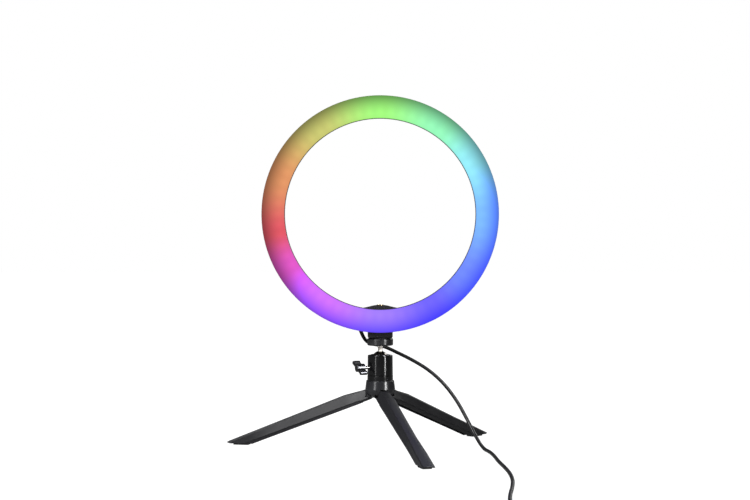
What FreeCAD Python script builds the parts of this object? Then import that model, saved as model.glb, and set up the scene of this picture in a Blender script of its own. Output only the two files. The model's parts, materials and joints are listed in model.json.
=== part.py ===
import FreeCAD, Part
import math
import os

import Sketcher

from FreeCAD import Placement, Rotation, Vector

# Ring light on a ball head and a three-leg table tripod, with its USB lead.
# Frame: millimetres, +Z up, origin on the floor under the post's axis.
# The lit face of the ring looks along -Y; +X is to the right of that face.

DRIVING = (
    # the ring head
    ("ring_radius", 130.0, "outer radius of the ring"),
    ("ring_hole", 104.9, "radius of the ring's opening"),
    ("ring_height", 259.5, "height of the ring's centre"),
    ("ring_back", 6.0, "back of the ring, ahead of the post axis"),
    ("ring_depth", 18.0, "back to front of the ring"),
    ("shell_wall", 1.2, "wall of the rear shell at its rims"),
    ("shell_floor", 2.0, "back wall of the rear shell"),
    ("lip_thick", 2.0, "lip of the cover, ahead of the shell's rims"),
    ("cover_wall", 1.8, "wall of the translucent cover"),
    ("board_gap", 1.4, "pads that the LED board rests on"),
    ("board_thick", 1.6, "LED board"),
    ("led_thick", 1.6, "height of an LED package"),
    ("film_thick", 0.4, "diffuser film"),
    # the ball head
    ("plate_radius", 14.3, "mounting plate"),
    ("plate_bottom", 114.2, "underside of the mounting plate"),
    ("plate_top", 121.9, "top of the mounting plate"),
    ("pad_radius", 11.6, "rubber pad on the plate"),
    ("pad_thick", 1.0, "rubber pad on the plate"),
    ("stud_radius", 3.1, "1/4-20 studs"),
    ("stud_bore", 3.17, "bores that take the 1/4-20 studs"),
    ("ball_radius", 9.4, "ball"),
    ("ball_centre", 98.8, "height of the ball's centre"),
    ("housing_top", 103.5, "top of the ball housing"),
    ("housing_bottom", 81.3, "underside of the ball housing"),
    ("housing_upper", 13.8, "radius of the housing at its top"),
    ("housing_lower", 14.1, "radius of the housing at its foot"),
    ("housing_bore", 9.9, "bore that the ball and its seat sit in"),
    ("knob_height", 90.2, "height of the lock knob's axis"),
    ("knob_face", 19.8, "inner face of the knob, from the post axis"),
    ("knob_length", 9.3, "length of the knob"),
    ("knob_span", 26.0, "tip to tip over the knob's two wings"),
    ("collar_radius", 14.2, "collar between housing and hub"),
    ("collar_bottom", 75.7, "underside of the collar"),
    ("collar_top", 80.9, "top of the collar"),
    # the tripod
    ("hub_top", 75.6, "top of the hub"),
    ("hub_upper", 15.4, "radius of the hub at its top"),
    ("hub_lower", 16.6, "radius of the hub at its widest"),
    ("hub_waist", 65.8, "height of the hub's widest point"),
    ("hub_bottom", 56.9, "underside of the hub"),
    ("pivot_reach", 13.5, "leg pivots, from the post axis"),
    ("pivot_height", 60.2, "height of the leg pivots"),
    ("pin_radius", 1.5, "leg pivot pins"),
    ("ear_radius", 6.2, "round end of a leg's ears"),
    ("leg_reach", 176.0, "tip of a leg, from the post axis"),
    ("foot_pad", 1.5, "thickness of the rubber feet"),
    # the lead
    ("cord_radius", 2.0, "USB lead"),
    ("box_length", 58.0, "in-line controller"),
    ("box_width", 20.0, "in-line controller"),
    ("box_height", 11.0, "in-line controller"),
    ("coil_outer", 27.7, "outer radius of the put-away coil"),
    ("coil_inner", 15.3, "inner radius of the put-away coil"),
    ("coil_height", 12.4, "height of the put-away coil"),
)

LEG_AZIMUTHS = (166.5, 286.5, 46.5)
LEG_NAMES = ("left", "front", "right")
KNOB_AZIMUTH = 205.0
WING_LEAN = 27.0
SET_SCREW_AZIMUTH = 306.0
RING_FACING = Rotation(Vector(1, 0, 0), 90)
ALL_ROUND = 360.0

doc = FreeCAD.newDocument("RingLight")
sheet = doc.addObject("Spreadsheet::Sheet", "Sizes")
for row, (alias, value, note) in enumerate(DRIVING, start=1):
    sheet.set("A%d" % row, note)
    sheet.set("B%d" % row, str(value))
    sheet.setAlias("B%d" % row, alias)
doc.recompute()

size = {alias: float(sheet.get(alias)) for alias, value, note in DRIVING}
nodes = []


# ---------------------------------------------------------------- helpers


def cell(*aliases, shift=0.0, factor=1.0):
    """A length driven by the sheet: its number now, and its expression."""
    number = factor * sum(size[name] for name in aliases) + shift
    text = " + ".join("Sizes." + name for name in aliases) or "0"
    return number, "(%s) * %r + %r" % (text, factor, shift)


def fixed(number):
    """A length that no driving dimension changes."""
    return number, None


def bind(thing, prop, length):
    if length[1] is not None:
        thing.setExpression(prop, length[1])


def node(thing, name):
    """Make a finished document object one of the model's sub-parts."""
    thing.Label = name
    nodes.append(thing)
    return thing


def cylinder(name, radius, height, base=(0.0, 0.0, 0.0), axis=(0.0, 0.0, 1.0)):
    thing = doc.addObject("Part::Cylinder", name)
    thing.Radius = radius[0]
    thing.Height = height[0]
    bind(thing, "Radius", radius)
    bind(thing, "Height", height)
    turn = Rotation(Vector(0, 0, 1), Vector(*axis))
    thing.Placement = Placement(Vector(*base), turn)
    return thing


def block(name, length, width, height, corner, turn=Rotation()):
    thing = doc.addObject("Part::Box", name)
    for prop, amount in (("Length", length), ("Width", width), ("Height", height)):
        setattr(thing, prop, amount[0])
        bind(thing, prop, amount)
    thing.Placement = Placement(Vector(*corner), turn)
    return thing


def sphere(name, radius, height):
    thing = doc.addObject("Part::Sphere", name)
    thing.Radius = radius[0]
    bind(thing, "Radius", radius)
    thing.Placement = Placement(Vector(0, 0, height[0]), Rotation())
    bind(thing, "Placement.Base.z", height)
    return thing


def fuse(name, shapes):
    thing = doc.addObject("Part::MultiFuse", name)
    thing.Shapes = shapes
    return thing


def cut(name, base, tool):
    thing = doc.addObject("Part::Cut", name)
    thing.Base = base
    thing.Tool = tool
    return thing


def solid(name, shape, placement=Placement()):
    """A sub-part whose shape comes straight from Part's own functions."""
    thing = doc.addObject("Part::Feature", name)
    thing.Shape = shape
    thing.Placement = placement
    return thing


def origin_plane(body, role):
    for feature in body.Origin.OriginFeatures:
        if feature.Role == role:
            return feature
    raise ValueError(role)


def outline_sketch(body, name, role, corners):
    """A closed polygon, each corner held by two driven distances."""
    sketch = body.newObject("Sketcher::SketchObject", name)
    sketch.AttachmentSupport = (origin_plane(body, role), [""])
    sketch.MapMode = "FlatFace"
    places = [Vector(across[0], up[0], 0) for across, up in corners]
    for number, place in enumerate(places):
        following = places[(number + 1) % len(places)]
        sketch.addGeometry(Part.LineSegment(place, following), False)
    rule = Sketcher.Constraint
    for number in range(len(places)):
        following = (number + 1) % len(places)
        sketch.addConstraint(rule("Coincident", number, 2, following, 1))
    for number, (across, up) in enumerate(corners):
        for kind, length in (("DistanceX", across), ("DistanceY", up)):
            if abs(length[0]) < 1e-9:
                on_axis = -2 if kind == "DistanceX" else -1
                sketch.addConstraint(rule("PointOnObject", number, 1, on_axis))
                continue
            index = sketch.addConstraint(rule(kind, -1, 1, number, 1, length[0]))
            bind(sketch, "Constraints[%d]" % index, length)
    return sketch


def turned(name, corners, rounds=()):
    """A body of revolution about Z; rounds are (radius, height, fillet)."""
    body = doc.addObject("PartDesign::Body", name + "_body")
    sketch = outline_sketch(body, name + "_outline", "XZ_Plane", corners)
    revolution = body.newObject("PartDesign::Revolution", name + "_turned")
    revolution.Profile = sketch
    revolution.ReferenceAxis = (sketch, ["V_Axis"])
    revolution.Angle = ALL_ROUND
    doc.recompute()
    latest = revolution
    for number, (radius, height, fillet) in enumerate(rounds):
        rims = rims_at(latest.Shape, radius, height)
        latest = body.newObject("PartDesign::Fillet", "%s_round_%d" % (name, number))
        latest.Base = (rounded_base(body, latest), rims)
        latest.Radius = fillet
        doc.recompute()
    return body


def rounded_base(body, fillet):
    """The feature that stands just before a fillet in its body."""
    features = [f for f in body.Group if f.isDerivedFrom("PartDesign::Feature")]
    return features[features.index(fillet) - 1]


def rims_at(shape, radius, height):
    """The names of the circular edges of this radius at this height."""
    names = []
    for number, edge in enumerate(shape.Edges, start=1):
        curve = edge.Curve
        if not isinstance(curve, Part.Circle):
            continue
        centred = math.hypot(curve.Center.x, curve.Center.y) < 1e-3
        if centred and abs(curve.Radius - radius) < 0.01 and abs(curve.Center.z - height) < 0.01:
            names.append("Edge%d" % number)
    if not names:
        raise ValueError("no rim of radius %.2f at %.2f" % (radius, height))
    return names


def face_ring(body):
    """Turn a body made about Z so that it lies in the ring head."""
    body.Placement = Placement(Vector(0, 0, size["ring_height"]), RING_FACING)
    body.setExpression("Placement.Base.z", "Sizes.ring_height")
    return body


def annulus(name, inner, outer, low, high):
    return turned(name, ((inner, low), (outer, low), (outer, high), (inner, high)))


def polar(radius, degrees, height=0.0):
    angle = math.radians(degrees)
    return Vector(radius * math.cos(angle), radius * math.sin(angle), height)


def ring_place(radius, degrees, depth):
    """A point of the ring head: radius and angle in its plane, depth ahead of the post."""
    return RING_FACING.multVec(polar(radius, degrees, depth)) + Vector(0, 0, size["ring_height"])


# -------------------------------------------------------------- ring head

SCREW_RING = 117.0
SCREW_COUNT = 8
SCREW_ANGLES = [22.5 + 45.0 * step for step in range(SCREW_COUNT)]
BACK = size["ring_back"]
FLOOR = BACK + size["shell_floor"]
BOARD_BACK = FLOOR + size["board_gap"]
BOARD_FRONT = BOARD_BACK + size["board_thick"]
FRONT = BACK + size["ring_depth"]
LIP = size["lip_thick"]
FORWARD = (0.0, -1.0, 0.0)


def ring_cylinders(radius, low, high, places):
    """Plain cylinders along the ring's axis, one at each (radius, angle)."""
    return [
        Part.makeCylinder(radius, high - low, ring_place(reach, angle, low), Vector(*FORWARD))
        for reach, angle in places
    ]


SCREW_PLACES = [(SCREW_RING, angle) for angle in SCREW_ANGLES]
BRACKET_SCREWS = ((-9.5, 149.5), (9.5, 149.5), (-9.5, 137.5), (9.5, 137.5))


def rear_shell():
    """A U-section ring, open to the front, with pads for board and screws."""
    wall = size["shell_wall"]
    blank = turned(
        "rear_shell",
        (
            (cell("ring_hole"), cell("ring_back")),
            (cell("ring_radius"), cell("ring_back")),
            (cell("ring_radius"), cell("ring_back", "ring_depth", shift=-LIP)),
            (cell("ring_radius", shift=-wall), cell("ring_back", "ring_depth", shift=-LIP)),
            (cell("ring_radius", shift=-wall), cell("ring_back", "shell_floor")),
            (cell("ring_hole", shift=wall), cell("ring_back", "shell_floor")),
            (cell("ring_hole", shift=wall), cell("ring_back", "ring_depth", shift=-LIP)),
            (cell("ring_hole"), cell("ring_back", "ring_depth", shift=-LIP)),
        ),
        (
            (size["ring_radius"], BACK, 3.0),
            (size["ring_hole"], BACK, 3.0),
        ),
    )
    face_ring(blank)
    pads = ring_cylinders(4.2, FLOOR - 0.2, BOARD_BACK, SCREW_PLACES)
    for across, height in BRACKET_SCREWS:
        foot = Vector(across, -FLOOR + 0.2, height)
        pads.append(Part.makeCylinder(3.6, size["board_gap"] + 0.2, foot, Vector(*FORWARD)))
    doc.recompute()
    shape = blank.Shape.fuse(pads)
    bores = ring_cylinders(1.45, BACK - 1, BOARD_BACK + 1, SCREW_PLACES)
    bores += ring_cylinders(2.5, BACK - 1, BACK + 1.4, SCREW_PLACES)
    for across, height in BRACKET_SCREWS:
        bores.append(Part.makeCylinder(1.45, 6, Vector(across, -BACK + 1, height), Vector(*FORWARD)))
    bores += vent_slots()
    bores.append(Part.makeCylinder(1.6, 6, Vector(GLAND_BASE.x, -BACK + 1, GLAND_BASE.z), Vector(*FORWARD)))
    node(solid("rear_shell", shape.cut(bores).removeSplitter()), "rear_shell")


def vent_slots():
    """Short radial slots through the back wall, in three groups of seven."""
    slots = []
    for centre in (0.0, 90.0, 180.0):
        for step in range(-3, 4):
            angle = centre + 3.2 * step
            slot = Part.makeBox(9.0, 1.6, 6.0, Vector(-4.5, -0.8, 0))
            slot.Placement = Placement(
                ring_place(SCREW_RING, angle, BACK - 2),
                RING_FACING.multiply(Rotation(Vector(0, 0, 1), angle)),
            )
            slots.append(slot)
    return slots


def diffuser_cover():
    """The translucent front: a channel inside the shell, with a lip over both rims."""
    play = 0.2
    wall = size["cover_wall"]
    inner = cell("ring_hole", "shell_wall", shift=play)
    outer = cell("ring_radius", shift=-size["shell_wall"] - play)
    inner_wall = cell("ring_hole", "shell_wall", "cover_wall", shift=play)
    outer_wall = cell("ring_radius", shift=-size["shell_wall"] - play - wall)
    inner_lip = cell("ring_hole", shift=0.1)
    outer_lip = cell("ring_radius", shift=-0.1)
    skirt = cell("ring_back", "ring_depth", shift=-8.0)
    plate = cell("ring_back", "ring_depth", shift=-LIP)
    seat = cell("ring_back", "ring_depth", shift=0.05 - LIP)
    front = cell("ring_back", "ring_depth")
    blank = turned(
        "diffuser_cover",
        (
            (inner, skirt),
            (inner_wall, skirt),
            (inner_wall, plate),
            (outer_wall, plate),
            (outer_wall, skirt),
            (outer, skirt),
            (outer, seat),
            (outer_lip, seat),
            (outer_lip, front),
            (inner_lip, front),
            (inner_lip, seat),
            (inner, seat),
        ),
        ((outer_lip[0], FRONT, 1.6), (inner_lip[0], FRONT, 1.6)),
    )
    face_ring(blank)
    doc.recompute()
    bosses = ring_cylinders(2.5, BOARD_BACK, FRONT - 1.8, SCREW_PLACES)
    pilots = ring_cylinders(1.25, BOARD_BACK - 1, BOARD_BACK + 9, SCREW_PLACES)
    shape = blank.Shape.fuse(bosses).cut(pilots).removeSplitter()
    node(solid("diffuser_cover", shape), "diffuser_cover")


def pierced_annulus(name, inner, outer, low, thick):
    """A flat ring in the head with a hole at each screw boss."""
    blank = annulus(name, inner, outer, low, (low[0] + thick, None))
    face_ring(blank)
    doc.recompute()
    holes = ring_cylinders(2.7, low[0] - 1, low[0] + thick + 1, SCREW_PLACES)
    node(solid(name, blank.Shape.cut(holes)), name)


def led_rows(name, radius, count, length, width, start):
    """A row of LED packages on the board, all one sub-part."""
    packages = []
    for step in range(count):
        angle = start + step * ALL_ROUND / count
        package = Part.makeBox(width, length, size["led_thick"], Vector(-width / 2, -length / 2, 0))
        package.Placement = Placement(
            ring_place(radius, angle, BOARD_FRONT),
            RING_FACING.multiply(Rotation(Vector(0, 0, 1), angle)),
        )
        packages.append(package)
    node(solid(name, Part.makeCompound(packages)), name)


def pan_screw(place, axis, shank, length, head, head_height):
    """A cross-recess pan-head screw; the head is behind place, the shank ahead."""
    way = Vector(*axis)
    way.normalize()
    body = Part.makeCylinder(shank, length, place, way)
    cap = Part.makeCylinder(head, head_height, place - way * head_height, way)
    rim = [edge for edge in cap.Edges if isinstance(edge.Curve, Part.Circle)]
    far = min(rim, key=lambda edge: edge.Curve.Center.dot(way))
    cap = cap.makeFillet(head_height * 0.45, [far])
    shape = cap.fuse(body)
    for turn in (0, 90):
        slot = Part.makeBox(head * 1.1, head * 0.26, head_height * 0.7, Vector(-head * 0.55, -head * 0.13, 0))
        slot.Placement = Placement(
            place - way * head_height,
            Rotation(Vector(0, 0, 1), way).multiply(Rotation(Vector(0, 0, 1), turn)),
        )
        shape = shape.cut(slot)
    return shape.removeSplitter()


def shell_screws():
    screws = [
        pan_screw(ring_place(reach, angle, BACK + 1.4), FORWARD, 1.2, 8.0, 2.2, 1.2)
        for reach, angle in SCREW_PLACES
    ]
    node(solid("shell_screws", Part.makeCompound(screws)), "shell_screws")


def reflector_bands():
    """White bands that line the shell's two walls beside the board."""
    low = cell("ring_back", "shell_floor", "board_gap", "board_thick")
    high = cell("ring_back", "ring_depth", shift=-8.6)
    bands = [
        annulus("outer_band", cell("ring_radius", shift=-1.9), cell("ring_radius", shift=-1.3), low, high),
        annulus("inner_band", cell("ring_hole", shift=1.3), cell("ring_hole", shift=1.9), low, high),
    ]
    for band in bands:
        face_ring(band)
    doc.recompute()
    shape = Part.makeCompound([band.Shape for band in bands])
    node(solid("reflector_bands", shape), "reflector_bands")


# The bracket stands behind the ring's lowest point and carries both inserts.
BRACKET_BOTTOM = size["plate_top"] + size["pad_thick"]
BRACKET_TOP = 158.7
BRACKET_BACK = 9.0
BRACKET_HALF = 13.85
HUMP_HALF = 24.0
HUMP_SHOULDER = 154.8
INSERT_Y = 1.5
FOOT_RISE = 4.0
FOOT_FRONT = 13.0


def bracket_outline():
    """The bracket seen from behind: a block below, a bell-shaped hump on top."""
    low = Vector(-BRACKET_HALF, 0, BRACKET_BOTTOM + FOOT_RISE)
    crown = Vector(0, 0, BRACKET_TOP)
    side = Vector(-11.4, 0, 157.1)
    foot = Vector(-HUMP_HALF, 0, HUMP_SHOULDER)
    mid = Vector(-18.0, 0, 155.6)
    flare = Vector(-HUMP_HALF, 0, 152.0)
    hip = Vector(-BRACKET_HALF, 0, 146.0)

    def mirror(place):
        return Vector(-place.x, place.y, place.z)

    edges = [
        Part.LineSegment(hip, flare).toShape(),
        Part.LineSegment(flare, foot).toShape(),
        Part.Arc(foot, mid, side).toShape(),
        Part.Arc(side, crown, mirror(side)).toShape(),
        Part.Arc(mirror(side), mirror(mid), mirror(foot)).toShape(),
        Part.LineSegment(mirror(foot), mirror(flare)).toShape(),
        Part.LineSegment(mirror(flare), mirror(hip)).toShape(),
        Part.LineSegment(mirror(hip), mirror(low)).toShape(),
        Part.LineSegment(mirror(low), low).toShape(),
        Part.LineSegment(low, hip).toShape(),
    ]
    return Part.Face(Part.Wire(edges))


def mount_bracket():
    """Bracket that joins the ring to the ball head and takes a phone clip."""
    outline = bracket_outline()
    outline.translate(Vector(0, -BACK, 0))
    plate = outline.extrude(Vector(0, BACK + BRACKET_BACK, 0))
    rear = [e for e in plate.Edges if e.BoundBox.YMin > BRACKET_BACK - 0.01]
    plate = plate.makeChamfer(1.0, rear)
    corner = Vector(-BRACKET_HALF, -FOOT_FRONT, BRACKET_BOTTOM)
    foot = Part.makeBox(2 * BRACKET_HALF, FOOT_FRONT + BRACKET_BACK, 7.4, corner)
    foot = foot.makeFillet(1.2, [e for e in foot.Edges if vertical(e)])
    foot = foot.makeFillet(2.0, [e for e in foot.Edges if e.BoundBox.ZMax < BRACKET_BOTTOM + 0.01])
    saddle = Part.makeCylinder(
        size["ring_radius"] + 0.05, 40, Vector(0, -BACK, size["ring_height"]), Vector(*FORWARD)
    )
    bores = [
        saddle,
        Part.makeCylinder(4.25, 10.5, Vector(0, 0, BRACKET_BOTTOM - 0.5)),
        Part.makeCylinder(3.65, 12.0, Vector(0, INSERT_Y, BRACKET_TOP - 10.5)),
        Part.makeCylinder(2.7, 30.0, Vector(0, INSERT_Y, BRACKET_TOP - 24.0)),
    ]
    for across, height in BRACKET_SCREWS:
        place = Vector(across, BRACKET_BACK + 1, height)
        bores.append(Part.makeCylinder(1.65, 20, place, Vector(*FORWARD)))
        bores.append(Part.makeCylinder(3.2, 8.5, place, Vector(*FORWARD)))
    shape = plate.fuse(foot)
    for tool in bores:
        shape = shape.cut(tool)
    node(solid("mount_bracket", shape), "mount_bracket")


def vertical(edge):
    return edge.BoundBox.XLength < 1e-6 and edge.BoundBox.YLength < 1e-6


def bracket_screws():
    screws = []
    for across, height in BRACKET_SCREWS:
        place = Vector(across, BRACKET_BACK - 7.5, height)
        screws.append(pan_screw(place, FORWARD, 1.4, 9.8, 2.8, 1.8))
    node(solid("bracket_screws", Part.makeCompound(screws)), "bracket_screws")


def knurled_insert(name, outer, bore, low, high, middle_y):
    """A brass insert with a waist between two knurled bands."""
    waist = outer - 0.35
    third = (high - low) / 3
    blank = turned(
        name,
        (
            (bore, fixed(low)),
            (fixed(outer), fixed(low)),
            (fixed(outer), fixed(low + third)),
            (fixed(waist), fixed(low + third + 0.35)),
            (fixed(waist), fixed(high - third - 0.35)),
            (fixed(outer), fixed(high - third)),
            (fixed(outer), fixed(high)),
            (bore, fixed(high)),
        ),
    )
    blank.Placement = Placement(Vector(0, middle_y, 0), Rotation())
    node(blank, name)


def cable_gland():
    """Strain relief on the ring's back, with a tapered tail that points down."""
    middle = GLAND_BASE
    base = Part.makeBox(11.0, 10.0, 10.0, Vector(middle.x - 5.5, -BACK, middle.z - 5.0))
    upright = [e for e in base.Edges if vertical(e) and e.BoundBox.YMax > 0]
    base = base.makeFillet(3.0, upright)
    exit_point = Vector(*LOOP_ROUTE[0])
    way = (Vector(*LOOP_ROUTE[1]) - exit_point).normalize()
    tail = Part.makeCone(3.4, 2.4, 9.0, exit_point - way * 9.0, way)
    rings = []
    for step in range(3):
        foot = exit_point - way * (5.2 - 1.9 * step)
        rings.append(Part.makeCylinder(3.0 - 0.2 * step, 1.0, foot, way))
    node(solid("cable_gland", base.fuse([tail] + rings).removeSplitter()), "cable_gland")


def lead_wires():
    """The lead's four wires inside the ring, from the gland to the board."""
    wires = []
    for step in range(4):
        start = Vector(GLAND_BASE.x - 0.75 + 0.5 * step, -BACK - 0.05, GLAND_BASE.z)
        wires.append(Part.makeCylinder(0.22, BOARD_BACK - BACK - 0.05, start, Vector(*FORWARD)))
    node(solid("lead_wires", Part.makeCompound(wires)), "lead_wires")


# ---------------------------------------------------------------- the lead

# The route's points: the lead leaves the gland downwards, swings round behind
# the ball head, drops in an open arc to the floor and runs along it to the
# controller. The loop turns with the ring, and the neck with the ball.
LOOP_ROUTE = (
    (-22.8, 1.0, 133.6),
    (-18.6, 4.9, 120.9),
    (-10.5, 16.0, 114.6),
    (-3.75, 18.9, 113.4),
)
NECK_ROUTE = (
    (-3.75, 18.9, 113.4),
    (3.0, 21.8, 112.2),
    (18.6, 21.6, 104.9),
    (28.05, 20.9, 100.3),
)
LEAD_ROUTE = (
    (28.05, 20.9, 100.3),
    (37.5, 20.2, 95.7),
    (55.5, 18.6, 84.6),
    (71.5, 16.6, 70.1),
    (85.3, 13.4, 51.9),
    (96.4, 8.0, 31.8),
    (105.0, -1.5, 14.6),
    (113.0, -18.0, 2.05),
    (118.5, -42.0, 2.05),
    (121.5, -76.0, 2.05),
    (123.0, -117.5, 2.05),
    (126.5, -161.0, 2.05),
    (129.0, -205.0, 2.05),
    (128.5, -252.0, 2.05),
    (124.5, -299.0, 2.05),
    (119.0, -344.0, 2.05),
    (116.0, -386.0, 2.05),
    (116.5, -411.5, 2.05),
    (114.5, -433.5, 2.05),
    (106.5, -453.5, 2.8),
    (89.0, -463.2, 4.8),
    (71.0, -464.4, 5.5),
)
TAIL_ROUTE = (
    (-11.0, -464.4, 5.5),
    (-26.0, -463.4, 4.4),
    (-41.5, -458.6, 2.6),
    (-54.5, -455.2, 2.1),
    (-66.0, -454.5, 2.1),
)
END_ROUTE = (
    (-69.0, -454.6, 9.6),
    (-83.5, -453.0, 8.6),
    (-98.5, -453.6, 6.6),
    (-111.5, -460.5, 5.0),
    (-118.0, -474.0, 4.2),
    (-119.5, -486.0, 4.2),
)
GLAND_BASE = Vector(-24.8, -6.0, 143.0)
COIL_CENTRE = Vector(-66.0, -480.1, 0)


def swept_path(points):
    """Straight runs joined by tangent arcs, each as large as its runs allow."""
    places = [Vector(*point) for point in points]
    edges = []
    radii = []
    start = places[0]
    for before, corner, after in zip(places, places[1:], places[2:]):
        incoming = (corner - before).normalize()
        outgoing = (after - corner).normalize()
        half_turn = incoming.getAngle(outgoing) / 2
        reach = 0.45 * min((corner - before).Length, (after - corner).Length)
        radii.append(reach / math.tan(half_turn))
        enter = corner - incoming * reach
        leave = corner + outgoing * reach
        inward = (outgoing - incoming).normalize()
        sagitta = radii[-1] * (1 / math.cos(half_turn) - 1)
        edges.append(Part.LineSegment(start, enter).toShape())
        edges.append(Part.Arc(enter, corner + inward * sagitta, leave).toShape())
        start = leave
    edges.append(Part.LineSegment(start, places[-1]).toShape())
    return Part.Wire(edges), radii


def lead_tube(name, points):
    """A round tube along a route, checked against its section times its length."""
    path, radii = swept_path(points)
    radius = size["cord_radius"]
    start = Vector(*points[0])
    along = Vector(*points[1]) - start
    section = Part.Wire([Part.Circle(start, along, radius).toShape()])
    tube = path.makePipeShell([section], True, False)
    share = tube.Volume / (math.pi * radius**2 * path.Length)
    print(
        "%s: length %.1f mm, tightest radius %.1f mm, volume ratio %.4f"
        % (name, path.Length, min(radii), share)
    )
    if abs(share - 1) > 0.01:
        raise ValueError(name + " is not a clean tube")
    node(solid(name, tube), name)
    return path.Length


def coil():
    """The outer shape of the put-away turns: a ring with rounded edges."""
    blank = turned(
        "cord_coil",
        (
            (cell("coil_inner"), fixed(0.05)),
            (cell("coil_outer"), fixed(0.05)),
            (cell("coil_outer"), cell("coil_height")),
            (cell("coil_inner"), cell("coil_height")),
        ),
        (
            (size["coil_outer"], size["coil_height"], 2.4),
            (size["coil_inner"], size["coil_height"], 2.4),
            (size["coil_outer"], 0.05, 1.7),
            (size["coil_inner"], 0.05, 1.7),
        ),
    )
    blank.Placement = Placement(COIL_CENTRE, Rotation())
    node(blank, "cord_coil")


def coil_tie():
    """A narrow strap round the coil's section, with its twisted ends."""
    width = 4.0
    middle = (size["coil_inner"] + size["coil_outer"]) / 2
    across = size["coil_outer"] - size["coil_inner"]
    top = size["coil_height"]
    outer = Part.makeBox(across + 2.4, width, top + 1.1, Vector(-across / 2 - 1.2, -width / 2, 0))
    outer = outer.makeFillet(2.6, [e for e in outer.Edges if along_y(e) and e.BoundBox.ZMin > 1])
    hole = Part.makeBox(across + 0.6, width + 2, top + 0.3, Vector(-across / 2 - 0.3, -width / 2 - 1, -1))
    ring = outer.cut(hole)
    tail = Part.makeBox(1.0, width, 3.0, Vector(-0.5, -width / 2, size["coil_height"] + 0.6))
    shape = ring.fuse(tail).removeSplitter()
    angle = 262.0
    place = COIL_CENTRE + polar(middle, angle)
    node(solid("cord_tie", shape, Placement(place, Rotation(Vector(0, 0, 1), angle))), "cord_tie")


def along_y(edge):
    return edge.BoundBox.XLength < 1e-6 and edge.BoundBox.ZLength < 1e-6


# The controller lies along X where the lead meets it.
BOX_MIDDLE = Vector(30.0, -464.4, 0)
RELIEF_LENGTH = 12.0
BUTTONS = (("power", -18.0), ("mode", -6.0), ("brighter", 6.0), ("dimmer", 18.0))
BUTTON_LENGTH = 8.0
BUTTON_WIDTH = 6.4
BUTTON_PROUD = 0.9
BUTTON_TRAVEL = 0.6
LID_SEAM = 5.4
BOX_WALL = 1.4


def rounded_box(length, width, low, high, corner):
    shape = Part.makeBox(length, width, high - low, Vector(-length / 2, -width / 2, low))
    return shape.makeFillet(corner, [e for e in shape.Edges if vertical(e)])


def controller():
    """Two half shells, a board, four buttons and a strain relief at each end."""
    length = size["box_length"]
    width = size["box_width"]
    height = size["box_height"]
    inner = rounded_box(length - 2 * BOX_WALL, width - 2 * BOX_WALL, BOX_WALL, height - BOX_WALL, 3.2)
    place = Placement(BOX_MIDDLE, Rotation())
    mouths = [
        Part.makeCylinder(2.25, length + 20, Vector(-length / 2 - 10, 0, 5.5), Vector(1, 0, 0)),
    ]

    base = rounded_box(length, width, 0, LID_SEAM, 5.0)
    rim = [e for e in base.Edges if e.BoundBox.ZMax < 0.01]
    base = base.makeFillet(1.2, rim).cut([inner] + mouths)
    node(solid("controller_base", base.removeSplitter(), place), "controller_base")

    lid = rounded_box(length, width, LID_SEAM, height, 5.0)
    rim = [e for e in lid.Edges if e.BoundBox.ZMin > height - 0.01]
    lid = lid.makeFillet(1.6, rim).cut([inner] + mouths)
    for name, across in BUTTONS:
        window = rounded_box(BUTTON_LENGTH + 0.4, BUTTON_WIDTH + 0.4, height - 3, height + 1, 1.9)
        window.translate(Vector(across, 0, 0))
        lid = lid.cut(window)
    node(solid("controller_lid", lid.removeSplitter(), place), "controller_lid")

    board = Part.makeBox(length - 8, width - 5, 1.2, Vector(4 - length / 2, 2.5 - width / 2, 6.6))
    feet = Part.makeBox(4, width - 6, 5.2, Vector(-2, 3 - width / 2, BOX_WALL))
    board = board.cut(mouths)
    node(solid("controller_board", board.fuse(feet.cut(mouths)).removeSplitter(), place), "controller_board")

    for name, across in BUTTONS:
        cap = rounded_box(BUTTON_LENGTH, BUTTON_WIDTH, 8.5, height + BUTTON_PROUD, 1.7)
        top = [e for e in cap.Edges if e.BoundBox.ZMin > height + BUTTON_PROUD - 0.01]
        cap = cap.makeFillet(0.5, top)
        cap.translate(Vector(across, 0, 0))
        flange = rounded_box(BUTTON_LENGTH + 1.6, BUTTON_WIDTH + 1.6, 8.5, 9.1, 1.9)
        flange.translate(Vector(across, 0, 0))
        node(solid(name + "_button", cap.fuse(flange).removeSplitter(), place), name + "_button")

    for name, side in (("relief_in", 1), ("relief_out", -1)):
        start = Vector(side * (length / 2 - BOX_WALL), 0, 5.5)
        way = Vector(side, 0, 0)
        flange = Part.makeCylinder(2.2, BOX_WALL, start, way)
        tail = Part.makeCone(3.6, 2.35, RELIEF_LENGTH, start + way * BOX_WALL, way)
        shape = flange.fuse(tail)
        for step in range(3):
            groove = 2.4 + 3.0 * step
            outer = Part.makeCylinder(5, 0.9, start + way * (BOX_WALL + groove), way)
            core = Part.makeCylinder(2.15, 0.9, start + way * (BOX_WALL + groove), way)
            shape = shape.cut(outer.cut(core))
        node(solid(name, shape.removeSplitter(), place), name)


# The USB-A plug lies beside the coil, pointing towards the camera's side.
PLUG_PLACE = Vector(*END_ROUTE[-1])
PLUG_TURN = 262.9


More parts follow.
